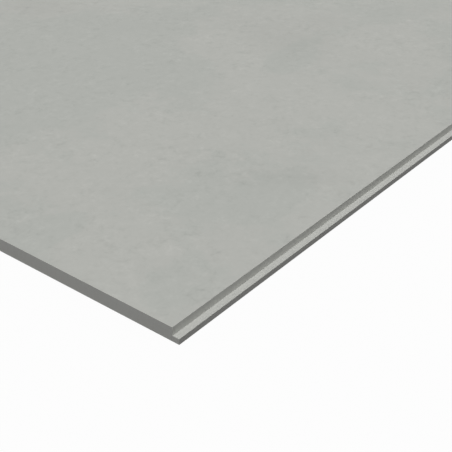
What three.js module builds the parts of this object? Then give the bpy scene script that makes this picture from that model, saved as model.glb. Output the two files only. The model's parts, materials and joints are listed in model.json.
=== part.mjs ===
// A fibre cement sheet with a ship-lap rebate along each long edge, in millimetres, +Z up.
// It lies flat with its finished face up, on the middle of its back face: +X runs along the
// length and +Y across the width. The edge at -Y is the underlap, whose lower lip takes the
// overlapping lip of the next sheet. The edge at +Y is the matching overlap, cut from the back.
import * as THREE from "three";

// Overall sizes
const sheetLength = 2440;
const sheetWidth = 1200; // from the tip of one lip to the tip of the other
const sheetThickness = 8.5;

// Ship-lap joint
const lipThickness = 3.5; // what the rebate in the face leaves of the sheet at -Y
const ledgeWidth = 4.2; // how far that lip stands out of the rebate's wall
const lapPlay = 0.8; // room left for sealant between the two lips, measured through the sheet
const sidePlay = 0.5; // how much wider the rebate in the back is than the lip that goes in it

// Finish of the long edges
const arris = 0.15; // the cutter takes this much off each outer corner of the section
const arcSteps = 3; // flats to each eased corner

const fibreCement = new THREE.MeshStandardMaterial({
  name: "fibre_cement",
  color: new THREE.Color(0xb0b2ad),
  roughness: 0.9,
  metalness: 0,
});

// The corners of the cross-section in order, anticlockwise seen from +X: (across, up).
function sectionCorners() {
  const underlapTip = -sheetWidth / 2;
  const overlapTip = sheetWidth / 2;
  const faceRebateWall = underlapTip + ledgeWidth;
  const backRebateWall = overlapTip - ledgeWidth - sidePlay;
  const overlapUnderside = lipThickness + lapPlay;
  return [
    { at: [underlapTip, 0], eased: true },
    { at: [backRebateWall, 0], eased: true },
    { at: [backRebateWall, overlapUnderside], eased: false },
    { at: [overlapTip, overlapUnderside], eased: true },
    { at: [overlapTip, sheetThickness], eased: true },
    { at: [faceRebateWall, sheetThickness], eased: true },
    { at: [faceRebateWall, lipThickness], eased: false },
    { at: [underlapTip, lipThickness], eased: true },
  ];
}

// The outline of the section, with each outer corner rounded off by the arris.
function sectionShape(corners) {
  const points = corners.map(({ at }) => new THREE.Vector2(...at));
  const shape = new THREE.Shape();
  points.forEach((corner, i) => {
    if (!corners[i].eased) {
      shape.lineTo(corner.x, corner.y);
      return;
    }
    const before = points.at(i - 1);
    const after = points[(i + 1) % points.length];
    const start = corner.clone().add(before.clone().sub(corner).setLength(arris));
    const end = corner.clone().add(after.clone().sub(corner).setLength(arris));
    if (i === 0) shape.moveTo(start.x, start.y);
    else shape.lineTo(start.x, start.y);
    shape.quadraticCurveTo(corner.x, corner.y, end.x, end.y);
  });
  shape.closePath();
  return shape;
}

// The section drawn out along the length, its square-cut ends at equal distances from the origin.
function fibreCementSheet() {
  const geometry = new THREE.ExtrudeGeometry(sectionShape(sectionCorners()), {
    depth: sheetLength,
    bevelEnabled: false,
    curveSegments: arcSteps,
  });
  const sheet = new THREE.Mesh(geometry, fibreCement);
  sheet.name = "fibre_cement_sheet";
  const along = new THREE.Vector3(1, 0, 0);
  const across = new THREE.Vector3(0, 1, 0);
  const up = new THREE.Vector3(0, 0, 1);
  sheet.setRotationFromMatrix(new THREE.Matrix4().makeBasis(across, up, along));
  sheet.position.x = -sheetLength / 2;
  return sheet;
}

const part = new THREE.Group();
part.add(fibreCementSheet());

export default part;
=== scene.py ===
# A fibre cement sheet with ship-lapped long edges, lying flat with its finished face up and seen
# from close above one corner. Everything is in metres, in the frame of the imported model.
import json
import math

import bmesh
import bpy
from mathutils import Matrix, Vector


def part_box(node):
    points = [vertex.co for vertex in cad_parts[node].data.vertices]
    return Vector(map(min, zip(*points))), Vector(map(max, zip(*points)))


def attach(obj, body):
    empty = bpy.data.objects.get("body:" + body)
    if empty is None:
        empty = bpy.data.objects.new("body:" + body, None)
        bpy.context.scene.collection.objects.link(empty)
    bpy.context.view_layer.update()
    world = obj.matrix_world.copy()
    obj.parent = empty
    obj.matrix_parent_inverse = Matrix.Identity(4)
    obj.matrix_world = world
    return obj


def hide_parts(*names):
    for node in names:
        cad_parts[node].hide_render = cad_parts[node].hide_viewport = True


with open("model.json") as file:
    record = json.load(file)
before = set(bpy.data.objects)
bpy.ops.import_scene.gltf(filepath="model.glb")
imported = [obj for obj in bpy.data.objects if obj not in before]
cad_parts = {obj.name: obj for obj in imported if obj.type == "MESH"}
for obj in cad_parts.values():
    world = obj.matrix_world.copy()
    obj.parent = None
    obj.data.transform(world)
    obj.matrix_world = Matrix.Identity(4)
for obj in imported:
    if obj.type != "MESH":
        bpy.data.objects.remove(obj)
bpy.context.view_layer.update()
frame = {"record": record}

MM = 0.001

# Sizes of the sheet, taken from the frame
SHEET = "fibre_cement_sheet"
low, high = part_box(SHEET)
mount_at = {mount["name"]: Vector(mount["pos_m"]) for mount in frame["record"]["mounts"]}
face_rebate_wall = mount_at["face_rebate_wall"].y
back_rebate_wall = mount_at["back_rebate_wall"].y
ledge_level = mount_at["underlap_ledge"].z
overlap_underside = mount_at["overlap_underside"].z
near_corner = Vector((low.x, face_rebate_wall, high.z))  # of the face, between its end and its rebate

# Camera, from the near corner of the face
CAMERA_OUT = 256.0 * MM  # past the near end
CAMERA_ASIDE = 234.9 * MM  # past the rebate's wall
CAMERA_UP = 269.6 * MM
CAMERA_HEADING = math.radians(38.39)  # turned from the length towards the width
CAMERA_TILT = math.radians(31.63)  # below level
CAMERA_ROLL = math.radians(0.245)
CAMERA_LENS = 73.86  # mm, as is the sensor
SENSOR_WIDTH = 36.0

# Light: the studio's radiance on the side that the rebate faces and behind the sheet, and what the
# key adds to the light on a level face
FRONT_GLOW = 0.791
BACK_GLOW = 0.05
LOW_GLOW = 0.9  # behind the sheet, but close above the floor
LOW_GLOW_TOP = math.sin(math.radians(25))  # as the upward part of a direction
GLOW_BLEND = 0.15  # half the width of the passage from one to the other
KEY_SHARE = 0.579
KEY_HEIGHT = math.radians(71.2)
KEY_SOFTNESS = math.radians(8)
PAPER_WHITE = 0.982
FLOOR_SHADE = 0.04  # the part of the floor's white that a shadow can take away
FLOOR_SPAN = 24.0
FLOOR_GAP = 0.05 * MM

# Relief of the sheet's edges
ARRIS = 0.08 * MM
ARRIS_FLATS = 3
END_ARRIS = 0.05 * MM
END_FLATS = 2
ARRIS_WANDER = 0.02 * MM  # how far the cutter strays from a true arris
WANDER_LENGTH = 9 * MM
STATION_PITCH = 4 * MM  # along the sheet
FACE_PITCH = 90 * MM  # across its faces
EDGE_PITCH = 1.3 * MM  # over its edges
LAP_REACH = 10 * MM  # in from each long edge, past which the sheet has its full thickness
SKIN = 0.1 * MM  # how near to the outermost level of the sheet a face counts as being on it
LOOKS_ALONG = 0.99  # the least part of its normal that a face has along the axis that it looks along
SQUARE_TURN = math.radians(60)  # an edge that turns more than this is a square corner, and stays crisp


def place(tree, kind, inputs=None, **settings):
    """Adds a node, sets its settings, and fills or links its inputs, which are given by name or number."""
    made = tree.nodes.new(kind)
    for name, value in settings.items():
        setattr(made, name, value)
    for key, value in (inputs or {}).items():
        if isinstance(value, bpy.types.NodeSocket):
            tree.links.new(value, made.inputs[key])
        else:
            made.inputs[key].default_value = value
    return made


def sum_up(tree, operation, *values, clamp=False):
    """One step of arithmetic on numbers or sockets."""
    made = place(tree, "ShaderNodeMath", dict(enumerate(values)), operation=operation, use_clamp=clamp)
    return made.outputs[0]


def vector_sum(tree, operation, *values):
    """One step of arithmetic on vectors."""
    return place(tree, "ShaderNodeVectorMath", dict(enumerate(values)), operation=operation).outputs[0]


def scaled(tree, vector, factor):
    """A vector or colour times a number."""
    return place(tree, "ShaderNodeVectorMath", {0: vector, "Scale": factor}, operation="SCALE").outputs[0]


def spread(tree, value, before, after):
    """Moves a value smoothly from one range to another, and holds it inside the second."""
    inputs = {
        "Value": value,
        "From Min": before[0],
        "From Max": before[1],
        "To Min": after[0],
        "To Max": after[1],
    }
    return place(tree, "ShaderNodeMapRange", inputs, interpolation_type="SMOOTHSTEP").outputs["Result"]


def new_tree(name, kind, inputs, outputs):
    """An empty node tree: (tree, the values given to it by name, the node that takes what it puts out)."""
    tree = bpy.data.node_groups.new(name, kind)
    for label, socket_kind, value in inputs:
        socket = tree.interface.new_socket(label, in_out="INPUT", socket_type=socket_kind)
        if value is not None:
            socket.default_value = value
    for label, socket_kind in outputs:
        tree.interface.new_socket(label, in_out="OUTPUT", socket_type=socket_kind)
    return tree, tree.nodes.new("NodeGroupInput").outputs, tree.nodes.new("NodeGroupOutput")


def use(tree, group, **values):
    """Places a shader group with its own values: an input named Patch Size is given as patch_size."""
    inputs = {label.replace("_", " ").title(): value for label, value in values.items()}
    return place(tree, "ShaderNodeGroup", inputs, node_tree=group).outputs


# Effects that several finishes share

PATCH_BORDER = 0.07  # how far the noise rises from the middle of a patch's border to its inside
FLECK_SEED = 7.3  # past the seed of the patches
CLUMP_SIZE = 2.6  # of a clump of flecks, in flecks
FAINT_FLECK = 0.55  # the share that is left of the faintest fleck
FLECK_CONTRAST = 4.0
CROWD_NOISE = 0.15  # either way, between the barest place and the most crowded
CROWDING = 0.45  # what a fleck gains in a crowd and loses outside it
DARK_GAIN = 0.3  # how much stronger a dark fleck is than a light one

SPECK_WAVES = 3.0  # of a speck's outline, to each spacing
SPECK_WOBBLE = 0.35  # how far the outline strays, in spacings
SPECK_CORE = 0.3  # the share of a speck's radius that has its full strength

MARK_RAGGEDNESS = 1.6
MARK_FADE = (1.3, 0.2)  # where a mark begins and where it is full, in half sizes from its centre


def stretched_noise_group():
    """Noise that is drawn out by a length of its own along each axis, about zero."""
    tree, given, out = new_tree(
        "stretched_noise",
        "ShaderNodeTree",
        [
            ("Vector", "NodeSocketVector", None),
            ("Lengths", "NodeSocketVector", (0.01, 0.01, 0.01)),
            ("Octaves", "NodeSocketFloat", 2.0),
            ("Fineness", "NodeSocketFloat", 0.55),
            ("Bend", "NodeSocketFloat", 0.0),
            ("Seed", "NodeSocketFloat", 0.0),
        ],
        [("Value", "NodeSocketFloat")],
    )
    drawn = vector_sum(tree, "DIVIDE", given["Vector"], given["Lengths"])
    noise = place(
        tree,
        "ShaderNodeTexNoise",
        {"Vector": drawn, "W": given["Seed"], "Scale": 1.0, "Detail": given["Octaves"],
         "Roughness": given["Fineness"], "Distortion": given["Bend"]},
        noise_dimensions="4D",
    )
    tree.links.new(sum_up(tree, "SUBTRACT", noise.outputs[0], 0.5), out.inputs["Value"])
    return tree


def cement_clouds_group(stretched_noise):
    """The cloudiness of pressed cement: ragged patches, the slow drift under them, and clumped flecks."""
    tree, given, out = new_tree(
        "cement_clouds",
        "ShaderNodeTree",
        [
            ("Vector", "NodeSocketVector", None),
            ("Patch Size", "NodeSocketFloat", 0.08),
            ("Fleck Size", "NodeSocketFloat", 0.004),
            ("Bias", "NodeSocketFloat", 0.0),
            ("Seed", "NodeSocketFloat", 0.0),
        ],
        [("Patches", "NodeSocketFloat"), ("Flecks", "NodeSocketFloat"), ("Drift", "NodeSocketFloat")],
    )
    here = given["Vector"]
    patch, fleck = (
        place(tree, "ShaderNodeCombineXYZ", {axis: given[size] for axis in "XYZ"}).outputs[0]
        for size in ("Patch Size", "Fleck Size")
    )
    drift = use(
        tree, stretched_noise, vector=here, lengths=patch, octaves=7.0, fineness=0.62, bend=0.3,
        seed=given["Seed"],
    )["Value"]
    steered = sum_up(tree, "ADD", drift, given["Bias"])
    patches = spread(tree, steered, (-PATCH_BORDER, PATCH_BORDER), (0.0, 1.0))

    seed = sum_up(tree, "ADD", given["Seed"], FLECK_SEED)
    even = use(
        tree, stretched_noise, vector=here, lengths=fleck, octaves=2.0, fineness=0.9, bend=0.4, seed=seed
    )["Value"]
    clump = scaled(tree, fleck, CLUMP_SIZE)
    crowd = use(tree, stretched_noise, vector=here, lengths=clump, octaves=1.0, seed=seed)["Value"]
    standing_out = sum_up(tree, "MULTIPLY_ADD", sum_up(tree, "ABSOLUTE", even), FLECK_CONTRAST, FAINT_FLECK)
    crowded = spread(tree, crowd, (-CROWD_NOISE, CROWD_NOISE), (1 - CROWDING, 1 + CROWDING))
    flecks = sum_up(tree, "MULTIPLY", sum_up(tree, "MULTIPLY", even, standing_out), crowded)
    dark_side = sum_up(tree, "MINIMUM", flecks, 0.0)
    flecks = sum_up(tree, "MULTIPLY_ADD", dark_side, DARK_GAIN, flecks)

    tree.links.new(patches, out.inputs["Patches"])
    tree.links.new(flecks, out.inputs["Flecks"])
    tree.links.new(drift, out.inputs["Drift"])
    return tree


def mineral_specks_group():
    """Small soft specks, where only a share of the cells holds one."""
    tree, given, out = new_tree(
        "mineral_specks",
        "ShaderNodeTree",
        [
            ("Vector", "NodeSocketVector", None),
            ("Spacing", "NodeSocketFloat", 0.01),
            ("Radius", "NodeSocketFloat", 0.2),
            ("Share", "NodeSocketFloat", 0.3),
        ],
        [("Mask", "NodeSocketFloat")],
    )
    often = sum_up(tree, "DIVIDE", 1.0, given["Spacing"])
    waves = sum_up(tree, "MULTIPLY", often, SPECK_WAVES)
    wobble = place(
        tree, "ShaderNodeTexNoise", {"Vector": given["Vector"], "Scale": waves, "Detail": 1.0}
    ).outputs["Color"]
    shift = scaled(tree, wobble, sum_up(tree, "MULTIPLY", given["Spacing"], SPECK_WOBBLE))
    moved = vector_sum(tree, "ADD", given["Vector"], shift)
    cells = place(tree, "ShaderNodeTexVoronoi", {"Vector": moved, "Scale": often}, feature="F1")
    chance = place(tree, "ShaderNodeSeparateColor", {0: cells.outputs["Color"]}).outputs[0]
    chosen = sum_up(tree, "LESS_THAN", chance, given["Share"])
    near = sum_up(tree, "DIVIDE", cells.outputs["Distance"], given["Radius"])
    spot = spread(tree, near, (1.0, SPECK_CORE), (0.0, 1.0))
    tree.links.new(sum_up(tree, "MULTIPLY", spot, chosen), out.inputs["Mask"])
    return tree


def oval_mark_group():
    """One soft oval on a level face. Ragged is a noise about zero that breaks its border up."""
    tree, given, out = new_tree(
        "oval_mark",
        "ShaderNodeTree",
        [
            ("Vector", "NodeSocketVector", None),
            ("Centre", "NodeSocketVector", (0.0, 0.0, 0.0)),
            ("Half Size", "NodeSocketVector", (0.05, 0.05, 1.0)),
            ("Turn", "NodeSocketFloat", 0.0),
            ("Ragged", "NodeSocketFloat", 0.0),
        ],
        [("Mask", "NodeSocketFloat")],
    )
    from_centre = vector_sum(tree, "SUBTRACT", given["Vector"], given["Centre"])
    back = sum_up(tree, "MULTIPLY", given["Turn"], -1.0)
    turned = place(
        tree, "ShaderNodeVectorRotate", {"Vector": from_centre, "Angle": back}, rotation_type="Z_AXIS"
    ).outputs[0]
    shares = vector_sum(tree, "DIVIDE", turned, given["Half Size"])
    far = place(tree, "ShaderNodeVectorMath", {0: shares}, operation="LENGTH").outputs["Value"]
    reach = sum_up(tree, "MULTIPLY_ADD", given["Ragged"], MARK_RAGGEDNESS, far)
    tree.links.new(spread(tree, reach, MARK_FADE, (0.0, 1.0)), out.inputs["Mask"])
    return tree


# Finishes


def start_finish(name, roughness, specular):
    """A new material with its shader: (material, tree, shader, object coordinates)."""
    material = bpy.data.materials.new(name)
    material.use_nodes = True
    tree = material.node_tree
    tree.nodes.clear()
    gloss = {"Roughness": roughness, "Specular IOR Level": specular}
    shader = place(tree, "ShaderNodeBsdfPrincipled", gloss)
    place(tree, "ShaderNodeOutputMaterial", {"Surface": shader.outputs[0]})
    coordinates = place(tree, "ShaderNodeTexCoord").outputs["Object"]
    return material, tree, shader, coordinates


def shade_of(tree, colour, amount):
    """A colour made lighter or darker by a factor of one plus amount."""
    return scaled(tree, colour, sum_up(tree, "ADD", amount, 1.0))


def shade_sum(tree, parts, total=0.0):
    """The sum of several masks, each times how much lighter or darker it makes the surface."""
    for mask, lighter in parts:
        total = sum_up(tree, "MULTIPLY_ADD", mask, lighter, total)
    return total


def mixed(tree, factor, first, second):
    """A colour between two, as the factor goes from nothing to one."""
    # a Mix node's colours are its inputs 6 and 7 and its output 2
    mix = place(tree, "ShaderNodeMix", {0: factor, 6: (*first, 1.0), 7: (*second, 1.0)}, data_type="RGBA")
    return mix.outputs[2]


def add_relief(tree, shader, height, depth):
    """Gives the shader relief: height is a socket of about one unit, and depth is what a unit measures."""
    bump = place(tree, "ShaderNodeBump", {"Height": height, "Distance": depth, "Strength": 1.0})
    tree.links.new(bump.outputs[0], shader.inputs["Normal"])


PRESSED_COOL = (0.4271, 0.4380, 0.4109)
PRESSED_WARM = (0.4452, 0.4508, 0.4233)
CUT_GREY = (0.444, 0.445, 0.425)
# painted light: the rebate's wall has a lighter grey than the other cut faces of the same core, so that it
# looks brighter than the studio's light makes it
WALL_GREY_WITH_PAINTED_LIGHT = (0.527, 0.533, 0.502)
LEDGE_GREY = (0.466, 0.471, 0.446)
BACK_GREY = (0.452, 0.455, 0.424)

# How far the marks of the blade run along each axis
DOWN_THE_END = (20 * MM, 1.1 * MM, 12 * MM)
ALONG_THE_EDGE = (90 * MM, 0.6 * MM, 0.6 * MM)
GRIT_HEIGHT = 0.6  # of the grit in a cut, where the marks of the blade are 1

# Cut faces: name, colour, run of the blade marks, how much the layers and the grit show, and how deep
# the tooth is
CUTS = {
    "Sawn Finish": ("sawn_end", CUT_GREY, DOWN_THE_END, 0.09, 0.08, 0.05 * MM),
    "Trimmed Finish": ("trimmed_edge", CUT_GREY, ALONG_THE_EDGE, 0.07, 0.08, 0.04 * MM),
    # the rebate's wall takes the lighter grey, which is painted light
    "Wall Finish With Painted Light": ("rebate_wall", WALL_GREY_WITH_PAINTED_LIGHT, ALONG_THE_EDGE, 0.04, 0.05, 0.02 * MM),
    "Ledge Finish": ("rebate_ledge", LEDGE_GREY, ALONG_THE_EDGE, 0.03, 0.03, 0.01 * MM),
}

# Clouds on the pressed face, from its near corner: centre along and across and half length and half
# width in mm, turn in degrees, how much it draws a warm patch, and how much lighter or darker it is
FACE_CLOUDS = {
    "warm_by_the_end": ((110, 132), (75, 34), 8, 0.3, 0.0),
    "warm_middle": ((222, 112), (72, 42), 10, 0.3, 0.004),
    "warm_far_spot": ((308, 214), (26, 38), 0, 0.3, 0.004),
    "warm_far_edge": ((388, 122), (44, 28), 0, 0.3, 0.0),
    "warm_by_the_rebate": ((362, 72), (46, 24), 25, 0.3, 0.0),
    "warm_near_edge": ((32, 66), (26, 40), 0, 0.25, 0.0),
    "warm_near_corner": ((76, 24), (22, 22), 0, 0.25, 0.0),
    "cool_back": ((190, 275), (110, 90), 0, -0.3, 0.0),
    "cool_corner": ((25, 30), (26, 16), 40, -0.2, -0.006),
    "cool_by_the_smudge": ((130, 38), (34, 22), 0, -0.2, 0.0),
    "cool_far": ((326, 152), (38, 18), 10, -0.25, -0.004),
    "cool_end": ((22, 108), (26, 14), 0, -0.3, 0.0),
    "rubbed_smudge": ((153, 43), (41, 12), -51, 0.05, -0.046),
    "brown_far": ((356, 192), (76, 38), 71, 0.1, -0.035),
    "brown_far_spot": ((402, 182), (24, 18), 20, 0.2, -0.03),
    "brown_back": ((276, 402), (28, 36), 0, 0.35, -0.035),
    "small_ring": ((238, 120), (9, 7), 0, 0.0, -0.03),
}


def pressed_face(effects):
    """The finished face: smooth pressed cement, clouded and flecked, with dark specks and a fine tooth."""
    material, tree, shader, here = start_finish("pressed_face", roughness=0.82, specular=0.35)
    corner = place(tree, "ShaderNodeMapping", {"Vector": here, "Location": -near_corner}).outputs[0]
    ragged = use(
        tree, effects["noise"], vector=here, lengths=(25 * MM,) * 3, octaves=5.0, fineness=0.7
    )["Value"]
    bias = shade = 0.0
    for centre, half, turn, draw, lighter in FACE_CLOUDS.values():
        mark = use(
            tree, effects["mark"], vector=corner, centre=(centre[0] * MM, centre[1] * MM, 0.0),
            half_size=(half[0] * MM, half[1] * MM, 1.0), turn=math.radians(turn), ragged=ragged,
        )["Mask"]
        bias = sum_up(tree, "MULTIPLY_ADD", mark, draw, bias)
        shade = sum_up(tree, "MULTIPLY_ADD", mark, lighter, shade)
    clouds = use(
        tree, effects["clouds"], vector=here, patch_size=90 * MM, fleck_size=6.5 * MM, bias=bias, seed=2.0
    )
    grain = use(tree, effects["noise"], vector=here, lengths=(1.2 * MM,) * 3, octaves=2.0)["Value"]
    specks = use(tree, effects["specks"], vector=here, spacing=13 * MM, radius=0.17, share=0.3)["Mask"]
    parts = [(clouds["Drift"], 0.06), (clouds["Flecks"], 0.19), (grain, 0.03), (specks, -0.04)]
    colour = mixed(tree, clouds["Patches"], PRESSED_COOL, PRESSED_WARM)
    tree.links.new(shade_of(tree, colour, shade_sum(tree, parts, shade)), shader.inputs["Base Color"])
    rough_dark_flecks = spread(tree, clouds["Flecks"], (-0.2, 0.2), (0.88, 0.76))
    tree.links.new(rough_dark_flecks, shader.inputs["Roughness"])
    add_relief(tree, shader, grain, 0.03 * MM)
    return material


def felt_back(effects):
    """The back, with the print of the felt that carried the wet sheet."""
    material, tree, shader, here = start_finish("felt_back", roughness=0.92, specular=0.3)
    clouds = use(tree, effects["clouds"], vector=here, patch_size=160 * MM, fleck_size=8 * MM, seed=11.0)
    thread = 9 * MM
    gap = 1.4 * MM
    warp, weft = (
        use(tree, effects["noise"], vector=here, lengths=lengths, octaves=1.0, bend=0.3, seed=seed)["Value"]
        for lengths, seed in (((thread, gap, gap), 0.0), ((gap, thread, gap), 3.0))
    )
    felt_print = sum_up(tree, "MAXIMUM", warp, weft)
    shade = shade_sum(tree, [(clouds["Flecks"], 0.16), (felt_print, 0.12)])
    colour = mixed(tree, clouds["Patches"], BACK_GREY, PRESSED_WARM)
    tree.links.new(shade_of(tree, colour, shade), shader.inputs["Base Color"])
    add_relief(tree, shader, felt_print, 0.25 * MM)
    return material


def cut_face(effects, name, colour, blade_run, layers_show, grit_shows, tooth):
    """A cut through the layers of the sheet, with the marks of the blade over them."""
    material, tree, shader, here = start_finish(name, roughness=0.9, specular=0.3)
    layer = (60 * MM, 60 * MM, 0.9 * MM)
    layered, blade, grit = (
        use(tree, effects["noise"], vector=here, **values)["Value"]
        for values in (
            {"lengths": layer, "octaves": 2.0, "bend": 0.1},
            {"lengths": blade_run, "octaves": 1.0, "seed": 5.0},
            {"lengths": (0.7 * MM,) * 3, "octaves": 2.0, "seed": 9.0},
        )
    )
    shade = shade_sum(tree, [(layered, layers_show), (blade, layers_show), (grit, grit_shows)])
    tree.links.new(shade_of(tree, colour, shade), shader.inputs["Base Color"])
    height = sum_up(tree, "MULTIPLY_ADD", grit, GRIT_HEIGHT, blade)
    add_relief(tree, shader, height, tooth)
    return material


def all_finishes():
    """Each finish of the sheet by its name."""
    noise = stretched_noise_group()
    effects = {
        "noise": noise,
        "clouds": cement_clouds_group(noise),
        "specks": mineral_specks_group(),
        "mark": oval_mark_group(),
    }
    return {
        "Face Finish": pressed_face(effects),
        "Back Finish": felt_back(effects),
        **{finish: cut_face(effects, *values) for finish, values in CUTS.items()},
    }


# The sheet


def section_outline():
    """The section of the sheet as a closed line, across by up, with the radius of each corner's arris."""
    corners = [
        (low.y, low.z, ARRIS),
        (back_rebate_wall, low.z, ARRIS),
        (back_rebate_wall, overlap_underside, 0.0),
        (high.y, overlap_underside, ARRIS),
        (high.y, high.z, ARRIS),
        (face_rebate_wall, high.z, ARRIS),
        (face_rebate_wall, ledge_level, 0.0),
        (low.y, ledge_level, ARRIS),
    ]
    mesh = bpy.data.meshes.new("ship_lap_section")
    count = len(corners)
    points = [(across, up, 0.0) for across, up, _ in corners]
    lines = [(i, (i + 1) % count) for i in range(count)]
    mesh.from_pydata(points, lines, [])
    radii = mesh.attributes.new("arris_radius", "FLOAT", "POINT")
    radii.data.foreach_set("value", [radius for _, _, radius in corners])
    outline = bpy.data.objects.new("ship_lap_sheet", mesh)
    bpy.context.scene.collection.objects.link(outline)
    return outline


def compare(tree, operation, a, b):
    """A true or false field from two numbers."""
    made = place(tree, "FunctionNodeCompare", {0: a, 1: b}, data_type="FLOAT", operation=operation)
    return made.outputs[0]


def both(tree, a, b):
    """True where both fields are."""
    return place(tree, "FunctionNodeBooleanMath", {0: a, 1: b}, operation="AND").outputs[0]


def parts_of(tree, kind):
    """The X, Y and Z parts of the vector that a node of this kind reads."""
    return place(tree, "ShaderNodeSeparateXYZ", {0: place(tree, kind).outputs[0]}).outputs


def eased_section(tree, given):
    """The section's outline with its corners rounded, and points enough on its flats."""
    radius = place(
        tree, "GeometryNodeInputNamedAttribute", {"Name": "arris_radius"}, data_type="FLOAT"
    ).outputs[0]
    line = place(tree, "GeometryNodeMeshToCurve", {"Mesh": given["Section"]}).outputs[0]
    eased = place(
        tree, "GeometryNodeFilletCurve",
        {"Curve": line, "Count": given["Arris Flats"], "Radius": radius}, mode="POLY",
    ).outputs[0]
    here = place(tree, "GeometryNodeInputPosition").outputs[0]
    index = place(tree, "GeometryNodeInputIndex").outputs[0]
    count = place(tree, "GeometryNodeSplineLength").outputs["Point Count"]
    following = sum_up(tree, "MODULO", sum_up(tree, "ADD", index, 1.0), count)
    there = place(
        tree, "GeometryNodeFieldAtIndex", {"Value": here, "Index": following},
        data_type="FLOAT_VECTOR", domain="POINT",
    ).outputs[0]
    reach = place(tree, "ShaderNodeVectorMath", {0: here, 1: there}, operation="DISTANCE").outputs["Value"]
    is_face = sum_up(tree, "GREATER_THAN", reach, given["Face Pitch"])
    wider = sum_up(tree, "SUBTRACT", given["Face Pitch"], given["Edge Pitch"])
    pitch = sum_up(tree, "MULTIPLY_ADD", is_face, wider, given["Edge Pitch"])
    cuts = sum_up(tree, "FLOOR", sum_up(tree, "DIVIDE", reach, pitch))
    return place(tree, "GeometryNodeSubdivideCurve", {"Curve": eased, "Cuts": cuts}).outputs[0]


def drawn_out(tree, given, section):
    """The section drawn out along the length, with its ends closed and its square corners kept crisp."""
    half = sum_up(tree, "MULTIPLY", given["Length"], 0.5)
    start = place(tree, "ShaderNodeCombineXYZ", {"X": sum_up(tree, "MULTIPLY", half, -1.0)}).outputs[0]
    end = place(tree, "ShaderNodeCombineXYZ", {"X": half}).outputs[0]
    inputs = {"Start": start, "End": end}
    line = place(tree, "GeometryNodeCurvePrimitiveLine", inputs, mode="POINTS").outputs[0]
    stations = sum_up(tree, "ADD", sum_up(tree, "DIVIDE", given["Length"], given["Station Pitch"]), 1.0)
    inputs = {"Curve": line, "Count": stations}
    path = place(tree, "GeometryNodeResampleCurve", inputs, mode="COUNT").outputs[0]
    path = place(tree, "GeometryNodeSetCurveNormal", {"Curve": path}, mode="Z_UP").outputs[0]
    path = place(tree, "GeometryNodeSetCurveTilt", {"Curve": path, "Tilt": math.pi}).outputs[0]
    inputs = {"Curve": path, "Profile Curve": section, "Fill Caps": True}
    solid = place(tree, "GeometryNodeCurveToMesh", inputs).outputs[0]
    angle = place(tree, "GeometryNodeInputMeshEdgeAngle").outputs["Unsigned Angle"]
    square = sum_up(tree, "GREATER_THAN", angle, SQUARE_TURN)
    inputs = {"Geometry": solid, "Selection": square, "Shade Smooth": False}
    return place(tree, "GeometryNodeSetShadeSmooth", inputs, domain="EDGE").outputs[0]


def wandering_arrises(tree, given, solid):
    """The solid with its arrises a little uneven, always on the inside of the true section."""
    normal = place(tree, "GeometryNodeInputNormal").outputs[0]
    parts = place(tree, "ShaderNodeSeparateXYZ", {0: normal}).outputs
    along, aside, up = (sum_up(tree, "ABSOLUTE", parts[axis]) for axis in "XYZ")
    turned = sum_up(tree, "SUBTRACT", 1.0, sum_up(tree, "MAXIMUM", aside, up))
    turned_most = 1 - math.sqrt(0.5)  # halfway round a square corner
    rounded = sum_up(tree, "MULTIPLY", turned, 1 / turned_most, clamp=True)
    off_the_ends = sum_up(tree, "LESS_THAN", along, 0.01)
    arris = sum_up(tree, "MULTIPLY", rounded, off_the_ends)
    often = sum_up(tree, "DIVIDE", 1.0, given["Wander Length"])
    noise = place(tree, "ShaderNodeTexNoise", {"Scale": often, "Detail": 2.0}).outputs[0]
    depth = sum_up(tree, "MULTIPLY", sum_up(tree, "MULTIPLY", noise, given["Wander"]), arris)
    inward = scaled(tree, normal, sum_up(tree, "MULTIPLY", depth, -1.0))
    return place(tree, "GeometryNodeSetPosition", {"Geometry": solid, "Offset": inward}).outputs[0]


def finished(tree, given, solid):
    """The solid with the finish of each of its faces, where a later one goes over those before it."""
    normal = parts_of(tree, "GeometryNodeInputNormal")
    where = parts_of(tree, "GeometryNodeInputPosition")
    tip = sum_up(tree, "ABSOLUTE", where["Y"])
    zones = {
        "Wall Finish With Painted Light": None,
        "Ledge Finish": compare(tree, "GREATER_THAN", sum_up(tree, "ABSOLUTE", normal["Z"]), LOOKS_ALONG),
        "Trimmed Finish": compare(tree, "GREATER_THAN", tip, high.y - SKIN - ARRIS),
        "Face Finish": both(
            tree, compare(tree, "GREATER_THAN", normal["Z"], LOOKS_ALONG),
            compare(tree, "GREATER_THAN", where["Z"], high.z - SKIN),
        ),
        "Back Finish": both(
            tree, compare(tree, "LESS_THAN", normal["Z"], -LOOKS_ALONG),
            compare(tree, "LESS_THAN", where["Z"], low.z + SKIN),
        ),
        "Sawn Finish": compare(tree, "GREATER_THAN", sum_up(tree, "ABSOLUTE", normal["X"]), LOOKS_ALONG),
    }
    for finish, selection in zones.items():
        inputs = {"Geometry": solid, "Material": given[finish]}
        if selection is not None:
            inputs["Selection"] = selection
        solid = place(tree, "GeometryNodeSetMaterial", inputs).outputs[0]
    return solid


def end_edges_marked(tree, given, solid):
    """Marks the edges around the two ends for the bevel that eases them."""
    out = sum_up(tree, "ABSOLUTE", parts_of(tree, "GeometryNodeInputPosition")["X"])
    limit = sum_up(tree, "SUBTRACT", sum_up(tree, "MULTIPLY", given["Length"], 0.5), SKIN)
    at_end = sum_up(tree, "GREATER_THAN", out, limit)
    return place(
        tree, "GeometryNodeStoreNamedAttribute",
        {"Geometry": solid, "Name": "bevel_weight_edge", "Value": at_end}, data_type="FLOAT", domain="EDGE",
    ).outputs[0]


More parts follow.
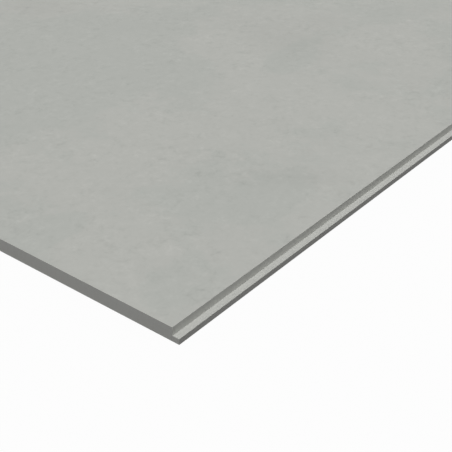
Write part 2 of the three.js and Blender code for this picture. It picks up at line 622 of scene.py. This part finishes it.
def sheet_tree(finishes):
    """The tree that turns the section's outline into the sheet."""
    tree, given, out = new_tree(
        "ship_lap_sheet",
        "GeometryNodeTree",
        [
            ("Section", "NodeSocketGeometry", None),
            ("Length", "NodeSocketFloat", 1.0),
            ("Arris Flats", "NodeSocketInt", 3),
            ("Station Pitch", "NodeSocketFloat", 0.004),
            ("Face Pitch", "NodeSocketFloat", 0.1),
            ("Edge Pitch", "NodeSocketFloat", 0.001),
            ("Wander", "NodeSocketFloat", 0.0),
            ("Wander Length", "NodeSocketFloat", 0.01),
            *((finish, "NodeSocketMaterial", None) for finish in finishes),
        ],
        [("Sheet", "NodeSocketGeometry")],
    )
    solid = drawn_out(tree, given, eased_section(tree, given))
    solid = wandering_arrises(tree, given, solid)
    solid = end_edges_marked(tree, given, solid)
    solid = place(tree, "GeometryNodeRealizeInstances", {"Geometry": solid}).outputs[0]
    tree.links.new(finished(tree, given, solid), out.inputs["Sheet"])
    return tree


def split_end_faces(mesh):
    """Cuts each end face into short upright pieces, so that no triangle bridges its notches."""
    shape = bmesh.new()
    shape.from_mesh(mesh)
    middle_level = (low.z + high.z) / 2
    by_area = sorted(shape.faces, key=lambda face: face.calc_area())
    for end in by_area[-2:]:
        rim = sorted(end.verts, key=lambda v: v.co.y)
        full_depth = [v for v in rim if low.y + LAP_REACH < v.co.y < high.y - LAP_REACH]
        above = [v for v in full_depth if v.co.z > middle_level]
        below = [v for v in full_depth if v.co.z < middle_level]
        rebate_foot, overlap_root = (
            min(rim, key=lambda v: math.hypot(v.co.y - across, v.co.z - up))
            for across, up in ((face_rebate_wall, ledge_level), (back_rebate_wall, overlap_underside))
        )
        for ends in [*zip(above, below), (rebate_foot, below[0]), (overlap_root, above[-1])]:
            bmesh.ops.connect_verts(shape, verts=ends)
    shape.to_mesh(mesh)
    shape.free()


def build_sheet():
    """The sheet, grown from its section, as a plain mesh."""
    finishes = all_finishes()
    piece = section_outline()
    tree = sheet_tree(finishes)
    values = {
        "Length": high.x - low.x,
        "Arris Flats": ARRIS_FLATS,
        "Station Pitch": STATION_PITCH,
        "Face Pitch": FACE_PITCH,
        "Edge Pitch": EDGE_PITCH,
        "Wander": ARRIS_WANDER,
        "Wander Length": WANDER_LENGTH,
        **finishes,
    }
    grow = piece.modifiers.new("grow", "NODES")
    grow.node_group = tree
    for item in tree.interface.items_tree:
        if item.in_out == "INPUT" and item.name in values:
            grow[item.identifier] = values[item.name]
    ease = piece.modifiers.new("ease_ends", "BEVEL")
    ease.limit_method = "WEIGHT"
    ease.width = END_ARRIS
    ease.segments = END_FLATS
    ease.use_clamp_overlap = False
    evaluated = piece.evaluated_get(bpy.context.evaluated_depsgraph_get())
    mesh = bpy.data.meshes.new_from_object(evaluated)
    piece.modifiers.clear()
    piece.data = mesh
    split_end_faces(mesh)
    mesh.shade_smooth()
    even = piece.modifiers.new("even_shading", "WEIGHTED_NORMAL")
    even.weight = 100  # the flats keep their own normals, and the arrises turn between them
    even.keep_sharp = True
    return piece


# The studio


def studio_world():
    """White to the eye, and to the sheet a pale room that is dim high up behind it."""
    world = bpy.data.worlds.new("pale_studio")
    world.use_nodes = True
    tree = world.node_tree
    tree.nodes.clear()
    direction = place(tree, "ShaderNodeTexCoord").outputs["Generated"]
    parts = place(tree, "ShaderNodeSeparateXYZ", {0: direction}).outputs
    low_down = (LOW_GLOW_TOP - GLOW_BLEND, LOW_GLOW_TOP + GLOW_BLEND)
    behind = spread(tree, parts["Z"], low_down, (LOW_GLOW, BACK_GLOW))
    in_front = spread(tree, parts["Y"], (GLOW_BLEND, -GLOW_BLEND), (0.0, 1.0))
    front_gain = sum_up(tree, "SUBTRACT", FRONT_GLOW, behind)
    glow = sum_up(tree, "MULTIPLY_ADD", in_front, front_gain, behind)
    above = sum_up(tree, "GREATER_THAN", parts["Z"], 0.0)
    sky = place(tree, "ShaderNodeBackground", {"Strength": sum_up(tree, "MULTIPLY", above, glow)})
    paper = place(tree, "ShaderNodeBackground", {"Color": (PAPER_WHITE,) * 3 + (1.0,)})
    seen = place(tree, "ShaderNodeLightPath").outputs["Is Camera Ray"]
    mix = place(tree, "ShaderNodeMixShader", {0: seen, 1: sky.outputs[0], 2: paper.outputs[0]})
    place(tree, "ShaderNodeOutputWorld", {"Surface": mix.outputs[0]})
    bpy.context.scene.world = world


def key_light():
    """A soft light from high beyond the near end, which adds its share to the light on a level face."""
    lamp = bpy.data.lights.new("key", "SUN")
    lamp.energy = KEY_SHARE * math.pi / math.sin(KEY_HEIGHT)
    lamp.angle = KEY_SOFTNESS
    light = bpy.data.objects.new("key", lamp)
    light.matrix_world = Matrix.Rotation(KEY_HEIGHT - math.pi / 2, 4, "Y")
    bpy.context.scene.collection.objects.link(light)


def pale_floor():
    """A level white floor that lights nothing and takes only a trace of shadow."""
    half = FLOOR_SPAN / 2
    level = low.z - FLOOR_GAP
    mesh = bpy.data.meshes.new("floor")
    corners = [(x, y, level) for x, y in ((-half, -half), (half, -half), (half, half), (-half, half))]
    mesh.from_pydata(corners, [], [(0, 1, 2, 3)])
    material = bpy.data.materials.new("floor_paper")
    material.use_nodes = True
    tree = material.node_tree
    tree.nodes.clear()
    shader = place(
        tree, "ShaderNodeBsdfPrincipled",
        {"Base Color": (FLOOR_SHADE,) * 3 + (1.0,), "Roughness": 1.0, "Specular IOR Level": 0.0,
         "Emission Color": (1.0, 1.0, 1.0, 1.0), "Emission Strength": PAPER_WHITE - FLOOR_SHADE},
    )
    place(tree, "ShaderNodeOutputMaterial", {"Surface": shader.outputs[0]})
    mesh.materials.append(material)
    floor = bpy.data.objects.new("floor", mesh)
    bpy.context.scene.collection.objects.link(floor)
    floor.visible_diffuse = False
    floor.visible_glossy = False
    floor.visible_shadow = False


def corner_camera():
    """The camera, close above the near corner of the sheet."""
    lens = bpy.data.cameras.new("camera")
    lens.sensor_width = SENSOR_WIDTH
    lens.lens = CAMERA_LENS
    lens.clip_start = 10 * MM
    camera = bpy.data.objects.new("camera", lens)
    bpy.context.scene.collection.objects.link(camera)
    camera.matrix_world = (
        Matrix.Translation(near_corner + Vector((-CAMERA_OUT, -CAMERA_ASIDE, CAMERA_UP)))
        @ Matrix.Rotation(CAMERA_HEADING - math.pi / 2, 4, "Z")
        @ Matrix.Rotation(math.pi / 2 - CAMERA_TILT, 4, "X")
        @ Matrix.Rotation(CAMERA_ROLL, 4, "Z")
    )
    bpy.context.scene.camera = camera


corner_camera()
studio_world()
key_light()
pale_floor()
bpy.context.scene.view_settings.view_transform = "Standard"

sheet = build_sheet()
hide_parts(SHEET)
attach(sheet, "root")
